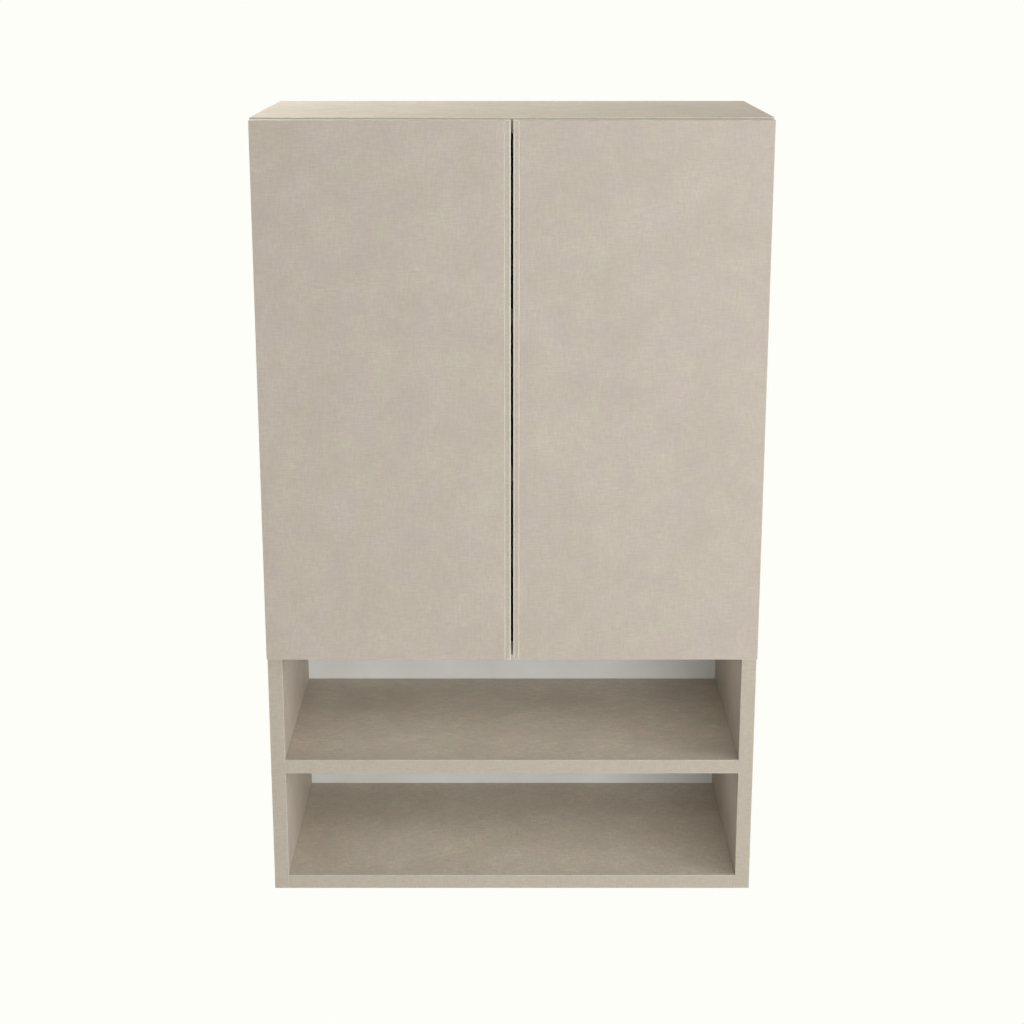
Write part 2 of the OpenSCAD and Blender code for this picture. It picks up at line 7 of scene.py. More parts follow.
# %% Load the cabinet
import json
import math
import bpy
import bmesh
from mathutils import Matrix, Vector

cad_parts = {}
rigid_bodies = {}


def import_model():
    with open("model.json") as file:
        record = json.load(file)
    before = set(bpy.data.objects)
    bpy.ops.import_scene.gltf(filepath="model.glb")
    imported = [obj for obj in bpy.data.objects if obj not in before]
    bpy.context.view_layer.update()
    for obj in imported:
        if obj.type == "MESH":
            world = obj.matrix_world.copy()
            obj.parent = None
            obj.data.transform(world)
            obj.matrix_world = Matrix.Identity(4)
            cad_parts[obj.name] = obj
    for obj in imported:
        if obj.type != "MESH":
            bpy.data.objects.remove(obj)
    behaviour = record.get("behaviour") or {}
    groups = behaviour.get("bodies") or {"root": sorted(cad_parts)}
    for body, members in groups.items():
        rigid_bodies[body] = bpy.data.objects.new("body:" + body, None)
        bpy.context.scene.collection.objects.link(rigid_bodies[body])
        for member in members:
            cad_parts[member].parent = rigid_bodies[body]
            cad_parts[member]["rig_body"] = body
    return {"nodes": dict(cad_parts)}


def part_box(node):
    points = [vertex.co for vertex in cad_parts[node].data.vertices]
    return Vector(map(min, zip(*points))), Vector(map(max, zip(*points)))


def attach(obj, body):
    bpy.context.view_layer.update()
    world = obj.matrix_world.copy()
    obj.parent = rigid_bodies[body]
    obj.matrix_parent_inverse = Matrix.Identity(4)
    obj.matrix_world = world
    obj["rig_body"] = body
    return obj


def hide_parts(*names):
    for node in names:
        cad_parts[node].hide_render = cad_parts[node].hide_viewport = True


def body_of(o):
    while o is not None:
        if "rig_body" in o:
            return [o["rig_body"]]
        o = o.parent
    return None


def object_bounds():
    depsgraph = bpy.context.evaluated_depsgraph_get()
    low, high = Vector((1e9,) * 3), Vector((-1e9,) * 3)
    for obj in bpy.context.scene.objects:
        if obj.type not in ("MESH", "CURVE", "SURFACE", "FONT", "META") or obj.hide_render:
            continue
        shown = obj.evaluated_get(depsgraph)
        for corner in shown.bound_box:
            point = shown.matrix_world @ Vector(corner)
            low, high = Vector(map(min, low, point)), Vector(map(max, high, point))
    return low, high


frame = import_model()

cad_low, cad_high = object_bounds()
print("cabinet box", [round(v, 4) for v in cad_low], [round(v, 4) for v in cad_high])

# %% [markdown]
# ## Camera
# The view is from straight in front, a little above the top panel, and tilts down. From
# farther away, with a longer lens, the niches would look flat. The distance matters more than
# the lens: at about 2.3 m the top panel is a thin bright strip and the niches show their floors.

# %% Camera
CAMERA_BEFORE_DOORS = 2.269
CAMERA_ABOVE_TOP = 0.1524
CAMERA_TILT_DOWN = 0.264

camera_data = bpy.data.cameras.new("camera")
camera_data.lens = 69.36
camera_data.sensor_width = 36.0
camera = bpy.data.objects.new("camera", camera_data)
bpy.context.scene.collection.objects.link(camera)
camera.location = (0.0, cad_low.y - CAMERA_BEFORE_DOORS, cad_high.z + CAMERA_ABOVE_TOP)
camera.rotation_euler = (math.pi / 2 - CAMERA_TILT_DOWN, 0.0, 0.0)
bpy.context.scene.camera = camera
print("camera at", [round(v, 3) for v in camera.location])

# %% [markdown]
# ## Studio light
# A white room lights the cabinet from all round. The key is a broad soft panel in front, a
# little to the right and only a little above the middle, because light from high up would
# leave the niches black. A side panel makes the right brighter than the left, a slightly warm
# one behind on the left brightens the top, and one far out on the left keeps that side from
# going dark. Two weak panels hide under the boards above the niches, where the light of the
# room would hardly reach.
# The world could be one plain colour, but then the backdrop and the fill light couldn't be
# set apart, so Light Path gives the camera its own shade of white.

# %% Small helpers for node trees
def add(tree, kind, **settings):
    node = tree.nodes.new(kind)
    for key, value in settings.items():
        setattr(node, key, value)
    return node


def set_inputs(node, **values):
    for key, value in values.items():
        node.inputs[key.replace("_", " ")].default_value = value
    return node


def join(tree, source, target):
    tree.links.new(source, target)


# %% World
FILL = (0.80, 0.80, 0.79, 1.0)
BACKDROP = (0.991, 0.991, 0.939, 1.0)
FILL_STRENGTH = 0.34

world = bpy.data.worlds.new("white_room")
bpy.context.scene.world = world
world.use_nodes = True
room = world.node_tree
room.nodes.clear()
room_light = add(room, "ShaderNodeBackground")
room_light.inputs["Color"].default_value = FILL
room_light.inputs["Strength"].default_value = FILL_STRENGTH
room_seen = add(room, "ShaderNodeBackground")
room_seen.inputs["Color"].default_value = BACKDROP
room_mix = add(room, "ShaderNodeMixShader")
room_path = add(room, "ShaderNodeLightPath")
room_out = add(room, "ShaderNodeOutputWorld")
join(room, room_path.outputs["Is Camera Ray"], room_mix.inputs[0])
join(room, room_light.outputs[0], room_mix.inputs[1])
join(room, room_seen.outputs[0], room_mix.inputs[2])
join(room, room_mix.outputs[0], room_out.inputs["Surface"])
bpy.context.scene.view_settings.view_transform = "Standard"
bpy.context.scene.view_settings.look = "None"
print("world ready, fill strength", FILL_STRENGTH)


# %% Light panels
PLAIN_WHITE = (1.0, 1.0, 1.0)
WARM_WHITE = (1.0, 0.985, 0.93)
NICHE_LIGHT_SIZE = (0.52, 0.14)
NICHE_LIGHT_WATTS = 0.125
NICHE_LIGHT_FROM_FRONT = 0.08
NICHE_LIGHT_BELOW_BOARD = 0.004


def light_panel(name, place, target, size, watts, colour=PLAIN_WHITE):
    data = bpy.data.lights.new(name, "AREA")
    data.shape = "RECTANGLE"
    data.size, data.size_y = size
    data.energy = watts
    data.color = colour
    panel = bpy.data.objects.new(name, data)
    bpy.context.scene.collection.objects.link(panel)
    panel.location = place
    panel.rotation_euler = (Vector(target) - Vector(place)).to_track_quat("-Z", "Y").to_euler()
    return panel


cabinet_middle = (cad_low + cad_high) / 2
top_middle = (-0.1, -0.15, cad_high.z)
light_panel("key_panel", (0.7, -3.0, -0.1), cabinet_middle, size=(1.8, 0.9), watts=36.0)
light_panel("right_panel", (2.4, -1.6, 0.3), cabinet_middle, size=(1.6, 1.6), watts=33.0)
light_panel("left_panel", (-2.6, 0.6, 0.1), cabinet_middle, size=(1.6, 1.6), watts=30.0)
light_panel("top_light", (-1.0, 0.9, 1.2), top_middle, size=(1.0, 1.0), watts=43.0, colour=WARM_WHITE)
for board in ("cupboard_floor", "niche_shelf"):
    board_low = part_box(board)[0]
    under = Vector((0.0, board_low.y + NICHE_LIGHT_FROM_FRONT, board_low.z - NICHE_LIGHT_BELOW_BOARD))
    straight_down = under - Vector((0.0, 0.0, 1.0))
    glow = light_panel("niche_light_" + board, under, straight_down, NICHE_LIGHT_SIZE, NICHE_LIGHT_WATTS)
    glow.visible_camera = False

# %% [markdown]
# ## Floor
# A plain pale floor lies well below the cabinet. It is a single grid of faces, and it sends
# soft light up under the bottom panel. The camera sees it in the same white as the room, so
# no horizon cuts the picture.

# %% Floor
FLOOR_Z = -1.6
FLOOR_HALF_WIDTH = 6.0

floor_mesh = bpy.data.meshes.new("studio_floor")
bm = bmesh.new()
bmesh.ops.create_grid(bm, x_segments=4, y_segments=4, size=FLOOR_HALF_WIDTH)
bmesh.ops.translate(bm, verts=bm.verts, vec=(0.0, 0.0, FLOOR_Z))
bm.to_mesh(floor_mesh)
bm.free()
studio_floor = bpy.data.objects.new("studio_floor", floor_mesh)
bpy.context.scene.collection.objects.link(studio_floor)

floor_material = bpy.data.materials.new("pale_floor")
floor_material.use_nodes = True
tree = floor_material.node_tree
tree.nodes.clear()
floor_shader = add(tree, "ShaderNodeBsdfPrincipled")
set_inputs(floor_shader, Base_Color=(0.80, 0.79, 0.76, 1.0), Roughness=0.9)
floor_seen = add(tree, "ShaderNodeEmission")
floor_seen.inputs["Color"].default_value = BACKDROP
floor_mix = add(tree, "ShaderNodeMixShader")
floor_path = add(tree, "ShaderNodeLightPath")
floor_out = add(tree, "ShaderNodeOutputMaterial")
join(tree, floor_path.outputs["Is Camera Ray"], floor_mix.inputs[0])
join(tree, floor_shader.outputs[0], floor_mix.inputs[1])
join(tree, floor_seen.outputs[0], floor_mix.inputs[2])
join(tree, floor_mix.outputs[0], floor_out.inputs["Surface"])
floor_mesh.materials.append(floor_material)
print("floor at", FLOOR_Z)


# %% [markdown]
# ## Effects that several materials share
# Wear along edges, which also paints highlights on some edges, the printed decor, dust,
# chipboard and brushed lines each show up on more than one piece. Each is a node group with
# named inputs and outputs, built once. A group gives out only colours and masks, and the shader itself
# stays in the material.

# %% Node group helpers
def new_group(name, inputs, outputs):
    group = bpy.data.node_groups.new(name, "ShaderNodeTree")
    for label, kind, value in inputs:
        socket = group.interface.new_socket(label, in_out="INPUT", socket_type=kind)
        socket.default_value = value
    for label, kind in outputs:
        group.interface.new_socket(label, in_out="OUTPUT", socket_type=kind)
    return group, add(group, "NodeGroupInput"), add(group, "NodeGroupOutput")


def place(tree, group, **values):
    node = add(tree, "ShaderNodeGroup")
    node.node_tree = group
    return set_inputs(node, **values)


def maths(tree, operation, first, second, clamp=False):
    node = add(tree, "ShaderNodeMath", operation=operation, use_clamp=clamp)
    for socket, value in zip(node.inputs, (first, second)):
        if isinstance(value, (int, float)):
            socket.default_value = value
        else:
            join(tree, value, socket)
    return node.outputs[0]


def times(tree, first, second):
    return maths(tree, "MULTIPLY", first, second)


def plus(tree, first, second):
    return maths(tree, "ADD", first, second)


def mix_colours(tree, factor, first, second):
    node = add(tree, "ShaderNodeMix", data_type="RGBA")
    for index, value in ((0, factor), (6, first), (7, second)):
        if isinstance(value, (int, float, tuple)):
            node.inputs[index].default_value = value
        else:
            join(tree, value, node.inputs[index])
    return node.outputs[2]


def spread(tree, value, low, high, to_low=0.0, to_high=1.0):
    node = add(tree, "ShaderNodeMapRange")
    join(tree, value, node.inputs["Value"])
    return set_inputs(node, From_Min=low, From_Max=high, To_Min=to_low, To_Max=to_high).outputs[0]


def noise(tree, vector, scale, detail=2.0, roughness=0.5):
    node = add(tree, "ShaderNodeTexNoise")
    set_inputs(node, Scale=scale, Detail=detail, Roughness=roughness)
    join(tree, vector, node.inputs["Vector"])
    return node.outputs[0]


def own_place(tree):
    return add(tree, "ShaderNodeTexCoord").outputs["Object"]


def split(tree, vector):
    node = add(tree, "ShaderNodeSeparateXYZ")
    join(tree, vector, node.inputs[0])
    return node.outputs


def stretched(tree, vector, by):
    node = add(tree, "ShaderNodeVectorMath", operation="MULTIPLY")
    join(tree, vector, node.inputs[0])
    if isinstance(by, tuple):
        node.inputs[1].default_value = by
    else:
        join(tree, by, node.inputs[1])
    return node.outputs[0]


print("node helpers ready")

# %% Printed decor: short fine streaks both ways, soft clouds, a drift of hue and broad smudges
CLOUD_SCALE = 26.0

decor, decor_in, decor_out = new_group(
    "printed_decor",
    [("Stretch", "NodeSocketVector", (60.0, 700.0, 700.0)),
     ("Cross", "NodeSocketVector", (700.0, 120.0, 120.0)),
     ("Cloud Scale", "NodeSocketFloat", CLOUD_SCALE)],
    [("Streak", "NodeSocketFloat"), ("Cloud", "NodeSocketFloat"), ("Hue", "NodeSocketFloat"),
     ("Smudge", "NodeSocketFloat")])
decor_place = own_place(decor)
along = stretched(decor, decor_place, decor_in.outputs["Stretch"])
across = stretched(decor, decor_place, decor_in.outputs["Cross"])
streak = times(decor, noise(decor, along, scale=1.0, detail=3.0, roughness=0.6), 0.55)
cross = times(decor, noise(decor, across, scale=1.0, detail=3.0, roughness=0.6), 0.45)
join(decor, spread(decor, plus(decor, streak, cross), 0.38, 0.62), decor_out.inputs["Streak"])
clouds = add(decor, "ShaderNodeTexNoise")
set_inputs(clouds, Detail=6.0, Roughness=0.66, Distortion=0.3)
join(decor, decor_place, clouds.inputs["Vector"])
join(decor, decor_in.outputs["Cloud Scale"], clouds.inputs["Scale"])
join(decor, spread(decor, clouds.outputs[0], 0.3, 0.7), decor_out.inputs["Cloud"])
elsewhere = add(decor, "ShaderNodeMapping")
elsewhere.inputs["Location"].default_value = (3.1, 5.7, 1.9)
join(decor, decor_place, elsewhere.inputs["Vector"])
hue = noise(decor, elsewhere.outputs[0], scale=42.0, detail=5.0, roughness=0.72)
join(decor, spread(decor, hue, 0.36, 0.64), decor_out.inputs["Hue"])
smudge = noise(decor, elsewhere.outputs[0], scale=11.0, detail=7.0, roughness=0.68)
join(decor, spread(decor, smudge, 0.42, 0.66), decor_out.inputs["Smudge"])
print("group", decor.name)

# %% Edge wear and painted highlight: handling rubs the rounded edges paler, in patches, and at full amount the pale rounds are a painted highlight
wear_and_highlight, wear_in, wear_out = new_group(
    "edge_wear_and_highlight",
    [("Amount", "NodeSocketFloat", 0.5), ("Patchy", "NodeSocketFloat", 0.4)],
    [("Worn_and_highlit", "NodeSocketFloat"), ("Cut", "NodeSocketFloat")])
finish_marks = add(wear_and_highlight, "ShaderNodeAttribute", attribute_name="finish_marks")
marks = add(wear_and_highlight, "ShaderNodeSeparateColor")
join(wear_and_highlight, finish_marks.outputs["Color"], marks.inputs[0])
patches = noise(wear_and_highlight, own_place(wear_and_highlight), scale=70.0, detail=3.0, roughness=0.6)
held_back = times(wear_and_highlight, spread(wear_and_highlight, patches, 0.35, 0.6), wear_in.outputs["Patchy"])
shown = maths(wear_and_highlight, "SUBTRACT", wear_in.outputs["Amount"], held_back, clamp=True)
join(wear_and_highlight, times(wear_and_highlight, marks.outputs[0], shown), wear_out.inputs["Worn_and_highlit"])
join(wear_and_highlight, marks.outputs[1], wear_out.inputs["Cut"])
print("group", wear_and_highlight.name)

# %% Dust: a thin veil on what faces up, in drifts
dust, dust_in, dust_out = new_group(
    "settled_dust", [("Amount", "NodeSocketFloat", 0.2)], [("Dust", "NodeSocketFloat")])
facing = split(dust, add(dust, "ShaderNodeNewGeometry").outputs["Normal"])
level = spread(dust, facing[2], 0.75, 0.98)
drifts = noise(dust, own_place(dust), scale=9.0, detail=5.0, roughness=0.6)
veil = times(dust, level, spread(dust, drifts, 0.3, 0.75, to_low=0.35, to_high=1.0))
join(dust, times(dust, veil, dust_in.outputs["Amount"]), dust_out.inputs["Dust"])
print("group", dust.name)

# %% Chipboard: pressed chips of several browns, seen only where a board is cut
CHIP_SCALE = 820.0
CHIP_DARK = (0.33, 0.21, 0.115, 1.0)
CHIP_LIGHT = (0.60, 0.44, 0.27, 1.0)

chips, chips_in, chips_out = new_group(
    "chipboard", [("Chip Scale", "NodeSocketFloat", CHIP_SCALE)],
    [("Color", "NodeSocketColor"), ("Height", "NodeSocketFloat")])
chip_place = stretched(chips, own_place(chips), (0.45, 0.45, 0.7))
chip_cells = add(chips, "ShaderNodeTexVoronoi")
join(chips, chip_place, chip_cells.inputs["Vector"])
join(chips, chips_in.outputs["Chip Scale"], chip_cells.inputs["Scale"])
chip_tone = add(chips, "ShaderNodeSeparateColor")
join(chips, chip_cells.outputs["Color"], chip_tone.inputs[0])
chip_colour = mix_colours(chips, chip_tone.outputs[0], CHIP_DARK, CHIP_LIGHT)
join(chips, chip_colour, chips_out.inputs["Color"])
join(chips, chip_cells.outputs["Distance"], chips_out.inputs["Height"])
print("group", chips.name)

# %% Fine tool lines: long faint lines along one direction, on metal and moulded parts
lines, lines_in, lines_out = new_group(
    "tool_lines", [("Stretch", "NodeSocketVector", (3000.0, 3000.0, 60.0))],
    [("Line", "NodeSocketFloat"), ("Blotch", "NodeSocketFloat")])
line_place = own_place(lines)
line = noise(lines, stretched(lines, line_place, lines_in.outputs["Stretch"]), scale=1.0, detail=2.0)
join(lines, spread(lines, line, 0.3, 0.7), lines_out.inputs["Line"])
blotch = noise(lines, line_place, scale=160.0, detail=3.0, roughness=0.6)
join(lines, spread(lines, blotch, 0.3, 0.7), lines_out.inputs["Blotch"])
print("group", lines.name)


# %% [markdown]
# ## Boards: greige melamine on chipboard
# The boards are faced with a printed paper under a matt resin. Close up it has short fine
# streaks both ways, like linen, and soft clouds that drift between pinkish and greenish grey.
# Flat boards also carry broad brown smudges from use. A flat colour with some roughness would
# look like paint, so the decor group darkens and tints it in layers. Where a board is cut, at
# the back and in its drilled holes, the same material shows bare chipboard.

# %% Start of a material
def new_material(name):
    material = bpy.data.materials.new(name)
    material.use_nodes = True
    tree = material.node_tree
    tree.nodes.clear()
    shader = add(tree, "ShaderNodeBsdfPrincipled")
    output = add(tree, "ShaderNodeOutputMaterial")
    join(tree, shader.outputs[0], output.inputs["Surface"])
    return material, tree, shader


def bump(tree, shader, height, strength, distance):
    node = add(tree, "ShaderNodeBump")
    set_inputs(node, Strength=strength, Distance=distance)
    join(tree, height, node.inputs["Height"])
    join(tree, node.outputs["Normal"], shader.inputs["Normal"])


# %% Melamine
MELAMINE_DARK = (0.452, 0.396, 0.334, 1.0)
MELAMINE_SMUDGE = (0.372, 0.310, 0.236, 1.0)
# Pale colour for rubbed edges, and on the doors for a painted highlight too.
MELAMINE_RUBBED_AND_HIGHLIGHT = (0.70, 0.66, 0.57, 1.0)
DUST_COLOUR = (0.66, 0.64, 0.58, 1.0)
UPRIGHT_TINTS = ((0.600, 0.507, 0.471, 1.0), (0.588, 0.555, 0.440, 1.0))
FLAT_TINTS = ((0.725, 0.552, 0.472, 1.0), (0.650, 0.645, 0.425, 1.0))
CHIP_RELIEF = 6.0


def melamine(name, stretch, cross, tints, clouded=0.42, streaky=0.70, smudged=0.12, worn=0.35):
    material, tree, shader = new_material(name)
    pattern = place(tree, decor, Stretch=stretch, Cross=cross, Cloud_Scale=CLOUD_SCALE)
    edges = place(tree, wear_and_highlight, Amount=worn, Patchy=0.3)
    veil = place(tree, dust, Amount=0.25)
    raw = place(tree, chips, Chip_Scale=CHIP_SCALE)
    tint = mix_colours(tree, pattern.outputs["Hue"], tints[0], tints[1])
    misty = mix_colours(tree, times(tree, pattern.outputs["Cloud"], clouded), tint, MELAMINE_DARK)
    printed = mix_colours(tree, times(tree, pattern.outputs["Streak"], streaky), misty, MELAMINE_DARK)
    handled = mix_colours(tree, times(tree, pattern.outputs["Smudge"], smudged), printed, MELAMINE_SMUDGE)
    # Pale rounded edges: handling wear, and on the doors also a painted highlight.
    rubbed_and_highlit = mix_colours(tree, edges.outputs["Worn_and_highlit"], handled, MELAMINE_RUBBED_AND_HIGHLIGHT)
    dusted = mix_colours(tree, veil.outputs["Dust"], rubbed_and_highlit, DUST_COLOUR)
    colour = mix_colours(tree, edges.outputs["Cut"], dusted, raw.outputs["Color"])
    join(tree, colour, shader.inputs["Base Color"])
    resin = spread(tree, pattern.outputs["Cloud"], 0.0, 1.0, to_low=0.50, to_high=0.58)
    bare = times(tree, edges.outputs["Cut"], 0.35)
    join(tree, plus(tree, resin, bare), shader.inputs["Roughness"])
    shader.inputs["Specular IOR Level"].default_value = 0.40
    chip_height = times(tree, edges.outputs["Cut"], raw.outputs["Height"])
    relief = plus(tree, pattern.outputs["Streak"], times(tree, chip_height, CHIP_RELIEF))
    bump(tree, shader, relief, strength=0.10, distance=0.0002)
    return material


melamine_flat = melamine(
    "greige_melamine_across", (80.0, 300.0, 700.0), (700.0, 110.0, 120.0), FLAT_TINTS,
    clouded=0.60, streaky=1.0, smudged=0.38)
melamine_sides = melamine(
    "greige_melamine_sides", (700.0, 60.0, 700.0), (120.0, 700.0, 120.0), UPRIGHT_TINTS)
# Full edge amount on the doors: their rounded arrises and the round where the lipping starts are painted
# pale, partly wear and partly a painted highlight.
melamine_doors = melamine(
    "greige_melamine_doors", (60.0, 700.0, 700.0), (700.0, 120.0, 120.0), UPRIGHT_TINTS, worn=1.0)
print("materials", melamine_flat.name, melamine_sides.name, melamine_doors.name)

# %% [markdown]
# ## Edge bands and the lipping of the doors
# The bands are coloured plastic strip with the same linen print, glued on and trimmed. The
# strip is a shade yellower than the boards, with faint lines along its length, and each rounded
# corner is painted pale, partly the trimmer's mark and partly a painted highlight. The lippings
# on the doors' meeting edges are the same plastic, but thicker, and a painted highlight runs
# pale along the gap's edges on their fronts. The band over the doors is painted paler all over,
# painted light against the shade in the slot behind the door tops, and its rounded corner gets
# a full painted highlight. A separate thin piece could make each pale line, but they are only
# a change of colour, so the material draws them from the piece's own place.

# %% Edge band and lipping
BAND_COLOUR = (0.550, 0.505, 0.410, 1.0)
BAND_SHADE = (0.480, 0.435, 0.345, 1.0)
BAND_ROSY = (0.560, 0.478, 0.415, 1.0)
BAND_DEEP = (0.400, 0.352, 0.288, 1.0)
# Pale colour for scraped corners and for the painted highlights on the rounds and beside the gap.
BAND_SCRAPED_AND_HIGHLIGHT = (0.860, 0.825, 0.720, 1.0)
BAND_PRINT = (90.0, 500.0, 600.0)
BAND_CLOUD_SCALE = 34.0
# Where the painted highlight beside the gap is full and where it ends, measured from the doors' middle.
GAP_HIGHLIGHT_FULL, GAP_HIGHLIGHT_END = 0.0024, 0.0031
FACE_DEPTH = 0.0008
LINES_ACROSS = (60.0, 2500.0, 2500.0)
LINES_UPRIGHT = (2500.0, 2500.0, 60.0)


# A painted highlight: a pale strip on each lipping's front, right beside the gap.
def painted_highlight_beside_gap(tree, amount):
    own = split(tree, own_place(tree))
    from_middle = maths(tree, "ABSOLUTE", own[0], 0.0)
    near_gap = spread(tree, from_middle, GAP_HIGHLIGHT_FULL, GAP_HIGHLIGHT_END, to_low=amount, to_high=0.0)
    on_face = maths(tree, "LESS_THAN", own[1], cad_low.y + FACE_DEPTH)
    return times(tree, near_gap, on_face)


def plastic_strip(name, stretch, scraped_and_highlit, paler=0.0, at_gap=0.0):
    material, tree, shader = new_material(name)
    drawn = place(tree, lines, Stretch=stretch)
    pattern = place(tree, decor, Stretch=BAND_PRINT, Cross=BAND_PRINT[::-1], Cloud_Scale=BAND_CLOUD_SCALE)
    edges = place(tree, wear_and_highlight, Amount=scraped_and_highlit, Patchy=0.25)
    veil = place(tree, dust, Amount=0.2)
    base = mix_colours(tree, times(tree, pattern.outputs["Cloud"], 0.35), BAND_COLOUR, BAND_SHADE)
    lined = mix_colours(tree, times(tree, drawn.outputs["Line"], 0.15), base, BAND_SHADE)
    hued = mix_colours(tree, times(tree, pattern.outputs["Hue"], 0.5), lined, BAND_ROSY)
    woven = mix_colours(tree, times(tree, pattern.outputs["Streak"], 0.62), hued, BAND_DEEP)
    # Wear on the rounds, a painted highlight where the amount is full, and the painted highlight strip
    # beside the gap.
    scrape_and_highlight = maths(tree, "MAXIMUM", edges.outputs["Worn_and_highlit"], painted_highlight_beside_gap(tree, at_gap))
    pale = mix_colours(tree, maths(tree, "MAXIMUM", scrape_and_highlight, paler), woven, BAND_SCRAPED_AND_HIGHLIGHT)
    join(tree, mix_colours(tree, veil.outputs["Dust"], pale, DUST_COLOUR), shader.inputs["Base Color"])
    gloss = spread(tree, drawn.outputs["Blotch"], 0.0, 1.0, to_low=0.40, to_high=0.50)
    join(tree, gloss, shader.inputs["Roughness"])
    shader.inputs["Specular IOR Level"].default_value = 0.45
    bump(tree, shader, drawn.outputs["Line"], strength=0.12, distance=0.0001)
    return material


# Edge bands: the rounded corners are painted pale, partly the trimmer's mark and partly a painted
# highlight.
edge_band = plastic_strip("edge_band_plastic", LINES_ACROSS, scraped_and_highlit=0.45)
# Band over the doors: painted light makes it paler all over, against the shade in the slot behind the door
# tops, and its round gets a full painted highlight.
top_band = plastic_strip("top_band_plastic", LINES_ACROSS, scraped_and_highlit=1.0, paler=0.40)
# Lippings: a full painted highlight on the rounds, and the painted highlight strip beside the gap.
lipping_plastic = plastic_strip("lipping_plastic", LINES_UPRIGHT, scraped_and_highlit=1.0, at_gap=0.75)
print("materials", edge_band.name, top_band.name, lipping_plastic.name)

# %% [markdown]
# ## Back panel
# The back is thin hardboard. Its front is lacquered white, with a slight orange peel, and its
# rear is bare, blotchy brown fibre that keeps the print of the wire mesh it was pressed on.
# Two materials on two faces would do, but one can do both: it looks which way the surface
# faces along Y.

# %% White hardboard
WHITE_LIGHT = (0.800, 0.815, 0.800, 1.0)
WHITE_DULL = (0.745, 0.748, 0.718, 1.0)
FIBRE_DARK = (0.150, 0.082, 0.040, 1.0)
FIBRE_LIGHT = (0.330, 0.205, 0.112, 1.0)
FIBRE_SOAKED = (0.120, 0.064, 0.032, 1.0)
FIBRE_STRETCH = (500.0, 500.0, 900.0)
MESH_SCALE = 105.0


def lacquered_hardboard():
    material, tree, shader = new_material("lacquered_hardboard")
    at = own_place(tree)
    facing = split(tree, add(tree, "ShaderNodeNewGeometry").outputs["Normal"])
    rear = maths(tree, "GREATER_THAN", facing[1], 0.5)
    dulled = spread(tree, noise(tree, at, scale=14.0, detail=3.0), 0.3, 0.7)
    white = mix_colours(tree, dulled, WHITE_LIGHT, WHITE_DULL)
    strand = noise(tree, stretched(tree, at, FIBRE_STRETCH), scale=1.0, detail=4.0, roughness=0.7)
    strands = mix_colours(tree, strand, FIBRE_DARK, FIBRE_LIGHT)
    blot = noise(tree, at, scale=7.0, detail=6.0, roughness=0.65)
    soaked = spread(tree, blot, 0.35, 0.70, to_low=0.0, to_high=0.55)
    fibre = mix_colours(tree, soaked, strands, FIBRE_SOAKED)
    join(tree, mix_colours(tree, rear, white, fibre), shader.inputs["Base Color"])
    wires = []
    for direction in ("X", "Z"):
        wave = add(tree, "ShaderNodeTexWave", bands_direction=direction)
        wave.inputs["Scale"].default_value = MESH_SCALE
        join(tree, at, wave.inputs["Vector"])
        wires.append(wave.outputs[1])
    mesh_print = times(tree, times(tree, wires[0], wires[1]), rear)
    join(tree, spread(tree, rear, 0.0, 1.0, to_low=0.42, to_high=0.85), shader.inputs["Roughness"])
    peel = times(tree, noise(tree, at, scale=420.0, detail=2.0), 0.15)
    bump(tree, shader, plus(tree, peel, mesh_print), strength=0.35, distance=0.0004)
    return material


hardboard = lacquered_hardboard()
print("material", hardboard.name)

# %% [markdown]
# ## Beech dowels
# The dowels are hidden between the boards, and show only when the cabinet is taken apart.
# Beech has a pale pinkish brown ground with short dark flecks along the grain. A plain brown
# would do for a hidden piece, but a loose dowel in the hand has to look like wood.

# %% Beech
BEECH_DARK = (0.62, 0.42, 0.25, 1.0)
BEECH_LIGHT = (0.74, 0.55, 0.36, 1.0)
BEECH_FLECK = (0.42, 0.24, 0.12, 1.0)


def beech_wood():
    material, tree, shader = new_material("beech")
    at = own_place(tree)
    grain = noise(tree, stretched(tree, at, (90.0, 1400.0, 1400.0)), scale=1.0, detail=4.0, roughness=0.65)
    fleck = noise(tree, stretched(tree, at, (420.0, 2600.0, 2600.0)), scale=1.0, detail=2.0)
    ground = mix_colours(tree, spread(tree, grain, 0.3, 0.7), BEECH_DARK, BEECH_LIGHT)
    flecked = mix_colours(tree, spread(tree, fleck, 0.60, 0.75), ground, BEECH_FLECK)
    join(tree, flecked, shader.inputs["Base Color"])
    join(tree, spread(tree, grain, 0.0, 1.0, to_low=0.55, to_high=0.75), shader.inputs["Roughness"])
    bump(tree, shader, grain, strength=0.3, distance=0.0002)
    return material


beech = beech_wood()
print("material", beech.name)

# %% [markdown]
# ## Moulded plastic
# The hanger housings and latch bodies are grey nylon and the latch plungers are white. A
# spark-eroded mould leaves a fine even grain, and corners that get handled turn shiny. One
# function makes both, because only the colour and the gloss differ.

# %% Moulded plastic
def moulded(name, colour, shade, rough):
    material, tree, shader = new_material(name)
    at = own_place(tree)
    edges = place(tree, wear_and_highlight, Amount=0.45, Patchy=0.3)
    flow = noise(tree, at, scale=55.0, detail=3.0)
    grain = noise(tree, at, scale=3200.0, detail=1.0)
    base = mix_colours(tree, spread(tree, flow, 0.3, 0.7), colour, shade)
    pale = tuple(min(1.0, c * 1.35) for c in colour[:3]) + (1.0,)
    join(tree, mix_colours(tree, edges.outputs["Worn_and_highlit"], base, pale), shader.inputs["Base Color"])
    matt = spread(tree, grain, 0.3, 0.7, to_low=rough, to_high=rough + 0.1)
    polished = times(tree, edges.outputs["Worn_and_highlit"], 0.2)
    join(tree, maths(tree, "SUBTRACT", matt, polished), shader.inputs["Roughness"])
    bump(tree, shader, grain, strength=0.25, distance=0.0001)
    return material


